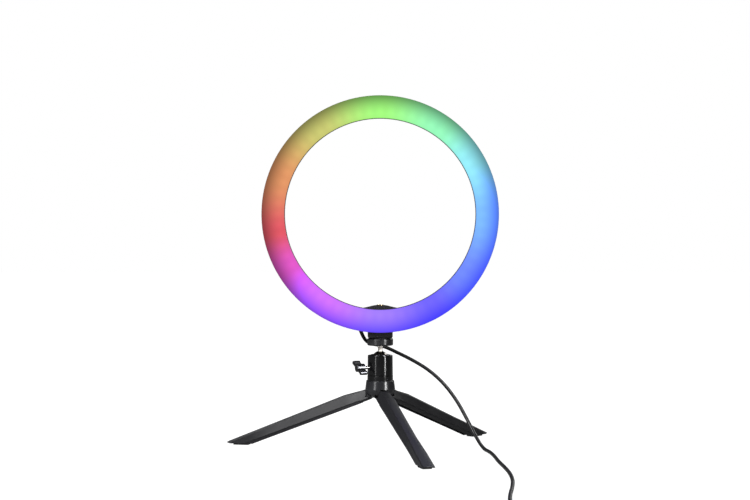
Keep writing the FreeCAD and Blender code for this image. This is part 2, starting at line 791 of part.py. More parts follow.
def usb_plug():
    """Overmould, metal shell and contact tongue, made along +X from the lead."""
    place = Placement(PLUG_PLACE, Rotation(Vector(0, 0, 1), PLUG_TURN))
    tail = Part.makeCone(2.35, 3.3, 8.0, Vector(0, 0, 0), Vector(1, 0, 0))
    grip = Part.makeBox(20.0, 15.0, 7.6, Vector(8.0, -7.5, -3.8))
    grip = grip.makeFillet(1.6, grip.Edges)
    overmould = tail.fuse(grip)
    grooves = []
    for step in range(3):
        for side in (-1, 1):
            grooves.append(Part.makeBox(1.0, 10.0, 1.0, Vector(12.0 + 3.0 * step, -5.0, side * 3.8 - 0.5)))
    pocket = Part.makeBox(3.0, 12.0, 4.5, Vector(25.5, -6.0, -2.25))
    overmould = overmould.cut(grooves + [pocket]).removeSplitter()
    node(solid("usb_overmould", overmould, place), "usb_overmould")

    shell = Part.makeBox(15.0, 12.0, 4.5, Vector(25.5, -6.0, -2.25))
    shell = shell.cut(Part.makeBox(14.0, 11.3, 3.8, Vector(27.0, -5.65, -1.9)))
    latches = [
        Part.makeBox(2.2, 2.2, 1.0, Vector(33.0, side * 2.9 - 1.1, level))
        for side in (-1, 1)
        for level in (-2.6, 1.6)
    ]
    node(solid("usb_shell", shell.cut(latches).removeSplitter(), place), "usb_shell")

    tongue = Part.makeBox(12.5, 11.2, 1.8, Vector(27.0, -5.6, 0.05))
    node(solid("usb_tongue", tongue, place), "usb_tongue")


# --------------------------------------------------------------- ball head

KNOB_WAY = polar(1.0, KNOB_AZIMUTH)
SHOE_INNER = 9.95
SHOE_OUTER = 11.95
SHOE_TRAVEL = 0.7
SCREW_RADIUS = 1.75


def mounting_plate():
    """A turned cup that carries the ring; the stud is pressed through it."""
    blank = turned(
        "mounting_plate",
        (
            (cell("stud_radius"), cell("plate_bottom", shift=2.0)),
            (fixed(4.05), cell("plate_bottom", shift=2.0)),
            (fixed(4.05), cell("plate_bottom")),
            (cell("plate_radius"), cell("plate_bottom")),
            (cell("plate_radius"), cell("plate_top")),
            (cell("stud_radius"), cell("plate_top")),
        ),
        (
            (size["plate_radius"], size["plate_bottom"], 1.4),
            (size["plate_radius"], size["plate_top"], 0.9),
        ),
    )
    node(blank, "mounting_plate")


def plate_pad():
    low = cell("plate_top")
    high = cell("plate_top", "pad_thick")
    node(annulus("plate_pad", cell("stud_bore", shift=0.2), cell("pad_radius"), low, high), "plate_pad")


def camera_screw():
    """1/4-20 stud, from the plate up into the bracket's insert."""
    low = cell("plate_bottom", shift=2.0)
    height = (15.0, None)
    stud = cylinder("camera_stud", cell("stud_radius"), height, (0, 0, low[0]))
    bind(stud, "Placement.Base.z", low)
    doc.recompute()
    tip = [e for e in stud.Shape.Edges if e.BoundBox.ZMin > low[0] + height[0] - 0.01]
    shape = stud.Shape.makeChamfer(0.6, tip)
    node(solid("camera_screw", shape), "camera_screw")


def ball_and_stem():
    """Plated ball with a waisted stem that ends in the plate's socket."""
    ball = sphere("ball", cell("ball_radius"), cell("ball_centre"))
    stem = turned(
        "stem",
        (
            (fixed(0.0), cell("ball_centre")),
            (fixed(3.4), cell("ball_centre")),
            (fixed(2.9), cell("ball_centre", "ball_radius", shift=-1.0)),
            (fixed(2.45), cell("ball_centre", "ball_radius", shift=0.9)),
            (fixed(2.45), cell("ball_centre", "ball_radius", shift=2.2)),
            (fixed(2.9), cell("plate_bottom", shift=-1.6)),
            (fixed(2.9), cell("plate_bottom")),
            (fixed(4.05), cell("plate_bottom")),
            (fixed(4.05), cell("plate_bottom", shift=2.0)),
            (fixed(0.0), cell("plate_bottom", shift=2.0)),
        ),
    )
    node(fuse("ball_stem", [ball, stem]), "ball_stem")


def ball_seats():
    """The mouth ring above the ball and the nylon seat below it."""
    ring = turned(
        "retainer_ring",
        (
            (fixed(6.6), cell("housing_top", shift=-1.65)),
            (fixed(10.45), cell("housing_top", shift=-1.65)),
            (fixed(10.45), cell("housing_top", shift=0.4)),
            (fixed(9.9), cell("housing_top", shift=0.9)),
            (fixed(6.6), cell("housing_top", shift=0.9)),
        ),
    )
    hollow = sphere("retainer_hollow", cell("ball_radius", shift=0.12), cell("ball_centre"))
    node(cut("retainer_ring", ring, hollow), "retainer_ring")

    top = cell("ball_centre", shift=-3.0)
    seat = annulus("ball_seat", fixed(5.6), cell("housing_bore", shift=-0.08), fixed(86.6), top)
    hollow = sphere("seat_hollow", cell("ball_radius", shift=0.1), cell("ball_centre"))
    node(cut("ball_seat", seat, hollow), "ball_seat")


def ball_housing():
    """Slightly tapered cup with a bore for the ball and a side hole for the lock."""
    blank = turned(
        "ball_housing",
        (
            (cell("stud_bore"), cell("housing_bottom")),
            (cell("housing_lower"), cell("housing_bottom")),
            (cell("housing_upper"), cell("housing_top")),
            (fixed(10.5), cell("housing_top")),
            (fixed(10.5), cell("housing_top", shift=-1.7)),
            (cell("housing_bore"), cell("housing_top", shift=-1.7)),
            (cell("housing_bore"), cell("housing_bottom", shift=3.0)),
            (cell("stud_bore"), cell("housing_bottom", shift=3.0)),
        ),
        (
            (size["housing_lower"], size["housing_bottom"], 0.5),
            (size["housing_upper"], size["housing_top"], 0.6),
        ),
    )
    centre = Vector(0, 0, size["knob_height"])
    screw_hole = cylinder("screw_hole", fixed(SCREW_RADIUS + 0.06), fixed(20.0), centre, KNOB_WAY)
    pocket_end = SHOE_OUTER + SHOE_TRAVEL + 0.1
    pocket = cylinder("shoe_pocket", fixed(3.1), fixed(pocket_end), centre, KNOB_WAY)
    for hole in (screw_hole, pocket):
        hole.setExpression("Placement.Base.z", "Sizes.knob_height")
    node(cut("ball_housing", blank, fuse("lock_holes", [screw_hole, pocket])), "ball_housing")


def lock():
    """Brake shoe, screw and two-winged knob on the lock's axis."""
    centre = Vector(0, 0, size["knob_height"])
    shoe = cylinder(
        "shoe", fixed(2.95), fixed(SHOE_OUTER - SHOE_INNER), centre + KNOB_WAY * SHOE_INNER, KNOB_WAY
    )
    node(shoe, "brake_shoe")

    face = size["knob_face"]
    start = SHOE_OUTER + 0.05
    shank = Part.makeCylinder(SCREW_RADIUS, face + 6.0 - start, centre + KNOB_WAY * start, KNOB_WAY)
    collar = Part.makeCylinder(2.3, 0.9, centre + KNOB_WAY * (face - 0.9), KNOB_WAY)
    node(solid("lock_screw", shank.fuse(collar).removeSplitter()), "lock_screw")

    node(solid("lock_knob", knob_shape(), knob_placement()), "lock_knob")


def knob_placement():
    """The knob is drawn along +Z with its wings along +X, then laid on its axis."""
    outward = KNOB_WAY
    level = Vector(0, 0, 1).cross(outward)
    lean = math.radians(WING_LEAN)
    wing = level * math.cos(lean) + Vector(0, 0, -1) * math.sin(lean)
    side = outward.cross(wing)
    turn = Rotation(wing, side, outward, "ZXY")
    return Placement(outward * size["knob_face"] + Vector(0, 0, size["knob_height"]), turn)


def knob_shape():
    length = size["knob_length"]
    half = size["knob_span"] / 2
    hub = Part.makeCylinder(4.5, length)
    shape = hub.makeFillet(0.7, [e for e in hub.Edges if e.BoundBox.ZMin > length - 0.01])
    for turn in (0, 180):
        tip = Part.makeCylinder(2.3, length - 1.2, Vector(half - 2.3, 0, 0.8))
        web = Part.makeBox(half - 2.3, 3.6, length - 1.2, Vector(0, -1.8, 0.8))
        tip = tip.makeFillet(0.6, [e for e in tip.Edges if isinstance(e.Curve, Part.Circle)])
        wing = tip.fuse(web.makeFillet(0.6, [e for e in web.Edges if along_x(e)]))
        wing.rotate(Vector(0, 0, 0), Vector(0, 0, 1), turn)
        shape = shape.fuse(wing)
    shape = shape.removeSplitter()
    bore = Part.makeCylinder(SCREW_RADIUS, 6.0, Vector(0, 0, 0))
    return shape.cut(bore)


def along_x(edge):
    return edge.BoundBox.YLength < 1e-6 and edge.BoundBox.ZLength < 1e-6


def base_collar():
    """Collar that clamps the ball head on the tripod's stud."""
    blank = annulus(
        "base_collar", cell("stud_bore"), cell("collar_radius"), cell("collar_bottom"), cell("collar_top")
    )
    neck = annulus(
        "collar_neck", cell("stud_bore"), fixed(13.0), cell("collar_top"), cell("housing_bottom")
    )
    level = (size["collar_bottom"] + size["collar_top"]) / 2
    way = polar(1.0, SET_SCREW_AZIMUTH)
    hole = cylinder("set_screw_hole", fixed(1.5), fixed(12.0), Vector(0, 0, level) + way * 4.4, way)
    node(cut("base_collar", fuse("collar_blank", [blank, neck]), hole), "base_collar")

    pin = Part.makeCylinder(1.45, 8.9, Vector(0, 0, level) + way * 4.5, way)
    socket = Part.makeCylinder(0.75, 2.0, Vector(0, 0, level) + way * 12.0, way)
    node(solid("set_screw", pin.cut(socket)), "set_screw")


def tripod_stud():
    stud = cylinder("tripod_stud", cell("stud_radius"), fixed(22.6), (0, 0, 61.4))
    node(stud, "tripod_stud")


# ----------------------------------------------------------------- tripod

EAR_INNER = 2.5
EAR_OUTER = 4.6
LUG_HALF = 2.3
LUG_RADIUS = 3.4
SLOT_HALF = 4.9
FLARE_HALF = 9.1
BODY_ROOT = 21.0
SHOULDER = 41.0
ROOT_CROWN = 63.9
SHOULDER_HEIGHT = 58.3
CROWN_SLOPE = 0.406
CROWN_DROP = 0.6
KEEL_START = 10.55
KEEL_HEIGHT = 53.9
KEEL_SLOPE = 0.3860
RIM_RISE = 4.0
RIM_STEP = 0.9
# A leg's cross-sections: reach, then half widths at its keel, its rim and its crown.
LEG_SECTIONS = (
    (BODY_ROOT, 7.3, 8.3, 4.5),
    (SHOULDER, 6.8, 7.8, 4.8),
    (118.0, 5.3, 7.0, 4.6),
    (150.0, 5.5, 6.6, 5.9),
    (182.0, 5.4, 6.4, 6.1),
)


def crown(reach):
    """Height of a leg's crown line beyond its shoulder."""
    return SHOULDER_HEIGHT - CROWN_SLOPE * (reach - SHOULDER)


def keel(reach):
    """Height of a leg's lower edge."""
    return KEEL_HEIGHT - KEEL_SLOPE * (reach - KEEL_START)


def tripod_hub():
    """Conical hub with a bowl below and a forked slot for each leg."""
    blank = turned(
        "hub",
        (
            (cell("stud_bore"), cell("hub_bottom")),
            (fixed(9.4), cell("hub_bottom")),
            (fixed(12.2), cell("hub_bottom", shift=1.3)),
            (fixed(14.6), cell("hub_bottom", shift=3.6)),
            (fixed(16.0), cell("hub_waist", shift=-2.6)),
            (cell("hub_lower"), cell("hub_waist")),
            (cell("hub_upper"), cell("hub_top")),
            (cell("stud_bore"), cell("hub_top")),
        ),
        (
            (16.0, size["hub_waist"] - 2.6, 6.0),
            (14.6, size["hub_bottom"] + 3.6, 4.0),
            (12.2, size["hub_bottom"] + 1.3, 5.0),
            (size["hub_lower"], size["hub_waist"], 3.0),
            (size["hub_upper"], size["hub_top"], 0.6),
        ),
    )
    reach = size["pivot_reach"]
    level = size["pivot_height"]
    slots = []
    lugs = []
    holes = []
    narrow = fixed(2 * SLOT_HALF)
    wide = fixed(2 * FLARE_HALF)
    for name, azimuth in zip(LEG_NAMES, LEG_AZIMUTHS):
        turn = Rotation(Vector(0, 0, 1), azimuth)
        across = turn.multVec(Vector(0, 1, 0))
        pivot = turn.multVec(Vector(reach, 0, level))
        edge = pivot - across * SLOT_HALF
        slots.append(cylinder("slot_round_" + name, cell("ear_radius", shift=0.3), narrow, edge, across))
        # the ears' slot, the flared root's way in from below, and the room it folds into
        for label, start, long, breadth, low, tall in (
            ("slot_", -3.5, 14.0, narrow, -12.0, 17.2),
            ("slot_flare_", -7.2, 16.0, wide, -12.0, 10.1),
            ("slot_fold_", -7.2, 5.7, wide, -2.0, 4.1),
        ):
            corner = turn.multVec(Vector(reach + start, -breadth[0] / 2, level + low))
            slots.append(block(label + name, fixed(long), breadth, fixed(tall), corner, turn))
        edge = pivot - across * LUG_HALF
        lugs.append(cylinder("lug_round_" + name, fixed(LUG_RADIUS), fixed(2 * LUG_HALF), edge, across))
        corner = turn.multVec(Vector(5.0, -LUG_HALF, level - LUG_RADIUS + 0.1))
        neck = cell("pivot_reach", shift=-5.0)
        thick = fixed(2 * LUG_HALF)
        tall = fixed(2 * LUG_RADIUS - 0.1)
        lugs.append(block("lug_" + name, neck, thick, tall, corner, turn))
        edge = pivot - across * SLOT_HALF
        holes.append(cylinder("pin_hole_" + name, cell("pin_radius"), narrow, edge, across))
    slotted = cut("slotted_hub", blank, fuse("hub_slots", slots))
    with_lugs = fuse("hub_with_lugs", [slotted] + lugs)
    node(cut("tripod_hub", with_lugs, fuse("pin_holes", holes)), "tripod_hub")

    cap = turned(
        "hub_cap",
        (
            (fixed(0.0), cell("hub_bottom", shift=-1.5)),
            (fixed(6.4), cell("hub_bottom", shift=-1.5)),
            (fixed(6.4), cell("hub_bottom")),
            (cell("stud_bore", shift=-0.05), cell("hub_bottom")),
            (cell("stud_bore", shift=-0.05), cell("hub_bottom", shift=3.0)),
            (fixed(0.0), cell("hub_bottom", shift=3.0)),
        ),
        ((6.4, size["hub_bottom"] - 1.5, 1.0),),
    )
    node(cap, "hub_cap")


def leg_section(reach, inset, keel_half, rim_half, top_half):
    """A leg's outline at one reach: narrow keel, a rim, slanted walls and a rounded crown."""
    low = keel(reach) - inset
    high = (ROOT_CROWN if reach < SHOULDER else crown(reach)) - inset
    rim = low + RIM_RISE
    right = [
        Vector(reach, keel_half - inset, low),
        Vector(reach, rim_half - inset - RIM_STEP, rim),
        Vector(reach, rim_half - inset, rim),
        Vector(reach, top_half - inset / 2 + 0.8, high - CROWN_DROP - 1.6),
        Vector(reach, top_half - inset / 2, high - CROWN_DROP),
    ]
    left = [Vector(place.x, -place.y, place.z) for place in reversed(right)]
    edges = [Part.LineSegment(first, second).toShape() for first, second in zip(right, right[1:])]
    edges.append(Part.Arc(right[-1], Vector(reach, 0, high), left[0]).toShape())
    edges += [Part.LineSegment(first, second).toShape() for first, second in zip(left, left[1:])]
    edges.append(Part.LineSegment(left[-1], right[0]).toShape())
    return Part.Wire(edges)


def leg_skin(inset):
    """The leg's outer form, or with an inset the hollow inside it."""
    outlines = [leg_section(reach, inset, *halves) for reach, *halves in LEG_SECTIONS]
    spans = [Part.makeLoft([first, second], True, True) for first, second in zip(outlines, outlines[1:])]
    return spans[0].fuse(spans[1:])


def flat_plate(corners, start, thick):
    """A plate with this outline of (reach, height) corners, from y = start."""
    places = [Vector(reach, start, height) for reach, height in corners]
    outline = Part.makePolygon(places + places[:1])
    return Part.Face(outline).extrude(Vector(0, thick, 0))


def leg_hood():
    """The flared root: it follows the hub's foot closely, clear of its surface."""
    outlines = []
    for reach, top in ((11.4, 65.6), (BODY_ROOT + 0.5, ROOT_CROWN - 0.3)):
        right = [
            Vector(reach, 7.2, keel(reach) + 0.5),
            Vector(reach, 8.6, keel(reach) + 3.2),
            Vector(reach, 4.5, top),
        ]
        left = [Vector(place.x, -place.y, place.z) for place in reversed(right)]
        corners = right + left
        outlines.append(Part.makePolygon(corners + corners[:1]))
    blank = Part.makeLoft(outlines, True, True)
    bowl = (
        (0, 56.3),
        (9.6, 56.3),
        (12.5, 57.7),
        (15.0, 60.3),
        (16.4, 63.0),
        (17.0, 65.8),
        (15.9, 76),
        (0, 76),
    )
    outline = Part.makePolygon([Vector(reach, 0, height) for reach, height in bowl + bowl[:1]])
    hub_room = Part.Face(outline).revolve(Vector(0, 0, 0), Vector(0, 0, 1), ALL_ROUND)
    fold_room = Part.makeBox(15.3, 40, 20, Vector(0, -20, 57.4))
    return blank.cut([hub_room, fold_room])


def leg_shape():
    """One leg along +X: a hollow beam with slanted walls, flared and forked at its root."""
    wall = 1.7
    reach = size["pivot_reach"]
    level = size["pivot_height"]
    radius = size["ear_radius"]
    tip = size["leg_reach"]
    below = Part.makeBox(400, 60, 60, Vector(-100, -30, size["foot_pad"] - 60))
    rounding = ((tip - 9.5, 0.9), (tip - 3.6, 1.5), (tip - 0.8, 2.2), (tip, 3.0), (tip - 0.6, 4.2))
    beyond = ((tip + 40, 40), (tip + 40, -10), (tip - 9.5, -10))
    nose = flat_plate(rounding + beyond, -20, 40)
    outer = leg_skin(0.0).cut([below, nose])
    limits = Part.makeBox(tip - 22.0 - BODY_ROOT - 2, 40, 90, Vector(BODY_ROOT + 2, -20, -10))
    hollow = leg_skin(wall).common(limits)
    shell = outer.cut(hollow)
    ribs = []
    for step in range(6):
        middle = 46.0 + 18.0 * step
        rib = Part.makeBox(1.3, 30, 30, Vector(middle, -15, keel(middle) + 5.0))
        ribs.append(rib.common(hollow))

    tongue = flat_plate(((17.2, 65.0), (BODY_ROOT + 1, 63.5), (BODY_ROOT + 1, 61.7), (17.2, 63.2)), -4.0, 8.0)
    ears = []
    roof = Part.makeBox(60, 40, 20, Vector(-10, -20, 64.9))
    thick = EAR_OUTER - EAR_INNER
    for start in (EAR_INNER, -EAR_OUTER):
        corners = ((12.6, 64.9), (17.0, 64.9), (24.0, 61.2), (24.0, keel(24.0) + 0.6), (11.2, 54.45))
        plate = flat_plate(corners, start, thick)
        round_end = Part.makeCylinder(radius, thick, Vector(reach, start, level), Vector(0, 1, 0))
        ears.append(plate.fuse(round_end.cut(roof)))
    shape = shell.fuse(ribs + [leg_hood(), tongue] + ears)
    bore = Part.makeCylinder(size["pin_radius"] + 0.05, 40, Vector(reach, -20, level), Vector(0, 1, 0))
    throat = Part.makeBox(BODY_ROOT + 2 - 5.0, 2 * EAR_INNER, 30, Vector(5.0, -EAR_INNER, 33.0))
    inner_face = Vector(reach, -EAR_INNER, level)
    lug_room = Part.makeCylinder(LUG_RADIUS + 0.3, 2 * EAR_INNER, inner_face, Vector(0, 1, 0))
    return shape.cut([bore, throat, lug_room]).removeSplitter()


def foot_pad_shape():
    """A thin rubber sole under the leg's end."""
    start = 151.5
    end = size["leg_reach"] - 7.0
    half = 5.2
    sole = Part.makeBox(end - start, 2 * half, size["foot_pad"], Vector(start, -half, 0))
    return sole.makeFillet(1.2, [e for e in sole.Edges if vertical(e)])


def legs():
    leg = leg_shape()
    pad = foot_pad_shape()
    reach = size["pivot_reach"]
    level = size["pivot_height"]
    outer_face = Vector(reach, -EAR_OUTER, level)
    pin = Part.makeCylinder(size["pin_radius"], 2 * EAR_OUTER, outer_face, Vector(0, 1, 0))
    for name, azimuth in zip(LEG_NAMES, LEG_AZIMUTHS):
        place = Placement(Vector(0, 0, 0), Rotation(Vector(0, 0, 1), azimuth))
        node(solid(name + "_leg", leg, place), name + "_leg")
        node(solid(name + "_foot_pad", pad, place), name + "_foot_pad")
        node(solid(name + "_pivot_pin", pin, place), name + "_pivot_pin")


# ------------------------------------------------------------ build, check

rear_shell()
diffuser_cover()
pierced_annulus(
    "led_board",
    cell("ring_hole", shift=2.2),
    cell("ring_radius", shift=-2.2),
    cell("ring_back", "shell_floor", "board_gap"),
    size["board_thick"],
)
pierced_annulus(
    "diffuser_film",
    cell("ring_hole", shift=2.2),
    cell("ring_radius", shift=-2.2),
    cell("ring_back", "ring_depth", shift=-8.0 - size["film_thick"]),
    size["film_thick"],
)
led_rows("rgb_leds", 110.6, 60, 5.0, 5.0, 1.5)
led_rows("white_leds", 123.0, 60, 3.5, 2.8, 4.5)
reflector_bands()
shell_screws()
mount_bracket()
bracket_screws()
knurled_insert("phone_mount_insert", 3.6, fixed(2.6), BRACKET_TOP - 9.5, BRACKET_TOP + 0.5, INSERT_Y)
knurled_insert("tripod_insert", 4.2, cell("stud_bore"), BRACKET_BOTTOM, BRACKET_BOTTOM + 9.6, 0.0)
cable_gland()
lead_wires()

mounting_plate()
plate_pad()
camera_screw()
ball_and_stem()
ball_seats()
ball_housing()
lock()
base_collar()
tripod_stud()

tripod_hub()
legs()

ROUTES = (
    ("cord_loop", LOOP_ROUTE),
    ("cord_neck", NECK_ROUTE),
    ("cord_lead", LEAD_ROUTE),
    ("cord_tail", TAIL_ROUTE),
    ("cord_end", END_ROUTE),
)
lead_length = sum(lead_tube(name, route) for name, route in ROUTES)
coil()
coil_tie()
controller()
usb_plug()
print("lead outside the coil: %.0f mm" % lead_length)

doc.recompute()
for thing in doc.Objects:
    bad = [state for state in thing.State if state in ("Invalid", "Error")]
    if bad:
        raise ValueError("%s is %s" % (thing.Label, bad))
labels = [thing.Label for thing in nodes]
if len(set(labels)) != len(labels):
    raise ValueError("two sub-parts share a label")
for thing in nodes:
    if thing.Shape.isNull() or not thing.Shape.isValid() or thing.Shape.Volume <= 0:
        raise ValueError("%s has no valid shape" % thing.Label)

os.makedirs("parts", exist_ok=True)
for thing in nodes:
    thing.Shape.exportStep("parts/%s.step" % thing.Label)
print("%d sub-parts written" % len(nodes))
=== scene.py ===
"""Ring light on a ball head and a folding table tripod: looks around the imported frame.

Metres, +Z up, origin on the table under the post's axis; the lit face looks along -Y.
"""

import json
import math

import bpy
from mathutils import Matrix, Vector


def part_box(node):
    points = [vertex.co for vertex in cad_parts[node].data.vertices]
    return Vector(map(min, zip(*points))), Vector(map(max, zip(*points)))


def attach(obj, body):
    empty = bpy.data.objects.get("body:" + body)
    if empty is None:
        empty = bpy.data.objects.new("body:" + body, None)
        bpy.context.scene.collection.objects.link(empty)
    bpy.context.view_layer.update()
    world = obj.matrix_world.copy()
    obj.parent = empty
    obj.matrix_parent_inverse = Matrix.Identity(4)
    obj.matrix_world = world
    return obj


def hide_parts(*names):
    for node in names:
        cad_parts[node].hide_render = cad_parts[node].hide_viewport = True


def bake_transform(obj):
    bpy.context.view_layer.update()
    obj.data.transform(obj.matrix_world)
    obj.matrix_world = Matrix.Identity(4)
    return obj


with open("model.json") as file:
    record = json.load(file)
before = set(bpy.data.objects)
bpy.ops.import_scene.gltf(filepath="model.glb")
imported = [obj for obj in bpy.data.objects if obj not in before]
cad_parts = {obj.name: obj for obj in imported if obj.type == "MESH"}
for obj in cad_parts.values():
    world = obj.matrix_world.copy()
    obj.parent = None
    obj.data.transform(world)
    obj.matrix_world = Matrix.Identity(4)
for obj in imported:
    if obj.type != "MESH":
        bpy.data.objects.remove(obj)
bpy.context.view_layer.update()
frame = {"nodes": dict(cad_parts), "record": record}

MM = 0.001
scene = bpy.context.scene

cover_low, cover_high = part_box("diffuser_cover")
shell_low, shell_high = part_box("rear_shell")
RING_RADIUS = (shell_high[0] - shell_low[0]) / 2
RING_HOLE = 0.1049
RING_CENTRE = Vector((0, cover_low[1], (cover_low[2] + cover_high[2]) / 2))
STEM_START = 0.1077  # height at which the ball ends and its stem starts
LED_COUNT = 60


# ------------------------------------------------------------ camera

def build_camera():
    """A long lens, level with the ring's centre, looking along +Y."""
    distance = 2.0105
    height = 0.2595
    data = bpy.data.cameras.new("camera")
    data.sensor_width = 36.0
    data.lens = 87.2256
    data.shift_x = -0.006933
    data.shift_y = -0.048
    data.clip_end = 100
    camera = bpy.data.objects.new("camera", data)
    camera.location = (0, -distance, height)
    camera.rotation_euler = (math.radians(90), 0, 0)
    scene.collection.objects.link(camera)
    scene.camera = camera


build_camera()


# ------------------------------------------------------------ node helpers

def new_material(name):
    material = bpy.data.materials.new(name)
    material.use_nodes = True
    tree = material.node_tree
    shader = tree.nodes["Principled BSDF"]
    return material, tree, shader


def add(tree, kind, **values):
    """A shader node with its settings, given by their names."""
    node = tree.nodes.new(kind)
    for key, value in values.items():
        setattr(node, key, value)
    return node


def join(tree, source, target):
    tree.links.new(source, target)


def object_point(tree):
    return add(tree, "ShaderNodeTexCoord").outputs["Object"]


def noise(tree, point, scale, detail=3.0, roughness=0.55):
    node = add(tree, "ShaderNodeTexNoise")
    node.inputs["Scale"].default_value = scale
    node.inputs["Detail"].default_value = detail
    node.inputs["Roughness"].default_value = roughness
    join(tree, point, node.inputs["Vector"])
    return node.outputs["Fac"]


def remap(tree, value, low, high, to_low, to_high):
    node = add(tree, "ShaderNodeMapRange")
    for name, number in (("From Min", low), ("From Max", high), ("To Min", to_low), ("To Max", to_high)):
        node.inputs[name].default_value = number
    join(tree, value, node.inputs["Value"])
    return node.outputs["Result"]


def mix_colour(tree, factor, first, second):
    node = add(tree, "ShaderNodeMix", data_type="RGBA")
    node.inputs[6].default_value = (*first, 1)
    node.inputs[7].default_value = (*second, 1)
    join(tree, factor, node.inputs[0])
    return node.outputs[2]


def rounded_edges(tree, radius):
    """The surface's normal as if its edges were rounded by the radius."""
    node = add(tree, "ShaderNodeBevel", samples=4)
    node.inputs["Radius"].default_value = radius
    return node.outputs["Normal"]


def edge_wear(tree, rounded, patches, amount):
    """How rubbed the surface is: most on its edges, in patches."""
    turned = add(tree, "ShaderNodeVectorMath", operation="DOT_PRODUCT")
    join(tree, rounded, turned.inputs[0])
    join(tree, add(tree, "ShaderNodeNewGeometry").outputs["Normal"], turned.inputs[1])
    on_edge = remap(tree, turned.outputs["Value"], 1.0, 0.94, 0.0, amount)
    share = add(tree, "ShaderNodeMath", operation="MULTIPLY")
    join(tree, on_edge, share.inputs[0])
    join(tree, remap(tree, patches, 0.35, 0.65, 0.25, 1.0), share.inputs[1])
    return share.outputs[0]


def worn_colour(tree, wear, colour, worn):
    node = add(tree, "ShaderNodeMix", data_type="RGBA")
    join(tree, wear, node.inputs[0])
    join(tree, colour, node.inputs[6])
    node.inputs[7].default_value = (*worn, 1)
    return node.outputs[2]


def bump(tree, shader, height, strength, distance, rounded=None):
    node = add(tree, "ShaderNodeBump")
    node.inputs["Strength"].default_value = strength
    node.inputs["Distance"].default_value = distance
    join(tree, height, node.inputs["Height"])
    if rounded:
        join(tree, rounded, node.inputs["Normal"])
    join(tree, node.outputs["Normal"], shader.inputs["Normal"])


def turning_lines(tree, shader, point, strength, rounded=None):
    """Fine level lines, as a lathe leaves them."""
    stretch = add(tree, "ShaderNodeMapping")
    stretch.inputs["Scale"].default_value = (20, 20, 9000)
    join(tree, point, stretch.inputs["Vector"])
    bump(tree, shader, noise(tree, stretch.outputs["Vector"], 1.0, 2.0), strength, 0.00002, rounded)


# ------------------------------------------------------------ materials

def moulded(
    name, dark, light, rough, rough_spread, grain=2600.0, grain_height=0.00004, specular=0.5, edge=0.0003
):
    """Moulded plastic or rubber: fine grain, slight colour and gloss variation, rubbed edges."""
    material, tree, shader = new_material(name)
    point = object_point(tree)
    cloud = noise(tree, point, 38.0)
    fine = noise(tree, point, grain, 2.0)
    colour = mix_colour(tree, cloud, dark, light)
    rounded = None
    if edge:
        rounded = rounded_edges(tree, edge)
        wear = edge_wear(tree, rounded, noise(tree, point, 420.0), 0.5)
        colour = worn_colour(tree, wear, colour, [2.2 * value for value in light])
    join(tree, colour, shader.inputs["Base Color"])
    gloss = remap(tree, cloud, 0.3, 0.7, rough - rough_spread, rough + rough_spread)
    join(tree, gloss, shader.inputs["Roughness"])
    shader.inputs["Specular IOR Level"].default_value = specular
    bump(tree, shader, fine, 0.35, grain_height, rounded)
    return material


def metal(name, dark, light, rough, rough_spread, turned=0.0, edge=0.00015):
    """Plated or bare metal: cloudy polish, fine scratches and brighter rubbed edges."""
    material, tree, shader = new_material(name)
    point = object_point(tree)
    cloud = noise(tree, point, 90.0)
    rounded = rounded_edges(tree, edge)
    wear = edge_wear(tree, rounded, noise(tree, point, 600.0), 0.6)
    colour = mix_colour(tree, cloud, dark, light)
    join(
        tree,
        worn_colour(tree, wear, colour, [min(1.0, 1.35 * value) for value in light]),
        shader.inputs["Base Color"],
    )
    gloss = remap(tree, cloud, 0.3, 0.7, rough - rough_spread, rough + rough_spread)
    join(tree, gloss, shader.inputs["Roughness"])
    shader.inputs["Metallic"].default_value = 1.0
    turning_lines(tree, shader, point, max(turned, 0.1), rounded)
    return material


def painted_shade_ball_and_stem():
    """Bright satin nickel on the stem above, with painted shade on the ball below: its colour is made
    darker to stand in for the dark plate and housing that it mirrors.
    """
    material, tree, shader = new_material("painted_shade_ball_and_stem")
    point = object_point(tree)
    split = add(tree, "ShaderNodeSeparateXYZ")
    join(tree, point, split.inputs[0])
    on_stem = remap(tree, split.outputs["Z"], STEM_START - 0.0003, STEM_START + 0.0003, 0.0, 1.0)
    cloud = noise(tree, point, 120.0)
    # Painted shade: the ball's colour is a darker copy of the stem's metal, standing in for the dark plate
    # and housing that the ball mirrors.
    ball = mix_colour(tree, cloud, (0.20, 0.185, 0.165), (0.28, 0.26, 0.235))
    stem = mix_colour(tree, cloud, (0.80, 0.76, 0.70), (0.92, 0.88, 0.82))
    colour = add(tree, "ShaderNodeMix", data_type="RGBA")
    join(tree, on_stem, colour.inputs[0])
    join(tree, ball, colour.inputs[6])
    join(tree, stem, colour.inputs[7])
    join(tree, colour.outputs[2], shader.inputs["Base Color"])
    join(tree, remap(tree, on_stem, 0.0, 1.0, 0.20, 0.46), shader.inputs["Roughness"])
    shader.inputs["Metallic"].default_value = 1.0
    turning_lines(tree, shader, point, 0.15)
    return material


# Twelve hues round the lit face, clockwise from the top as its viewer sees it, each where the hue turns.
# Blue above 1 stays full where the face darkens towards its rim.
RING_COLOURS = (
    (0, (0.65, 1.00, 0.50)),  # lime green
    (35, (0.60, 1.00, 0.75)),  # mint
    (60, (0.60, 0.95, 1.00)),  # cyan
    (90, (0.50, 0.75, 1.40)),  # sky blue
    (125, (0.45, 0.55, 1.55)),  # blue
    (150, (0.45, 0.40, 1.55)),  # indigo
    (180, (0.65, 0.50, 1.55)),  # violet
    (215, (0.85, 0.45, 1.40)),  # magenta
    (240, (0.90, 0.35, 0.80)),  # rose
    (260, (0.90, 0.35, 0.40)),  # red
    (290, (0.90, 0.60, 0.40)),  # orange
    (325, (0.80, 0.80, 0.45)),  # yellow green
)
BRIGHTEST = 2.8
LED_ROW = 0.3  # where the LEDs sit, from the opening (0) to the outer rim (1)
LED_ROW_SHARPNESS = 2.6
SPOT_CONTRAST = 0.03


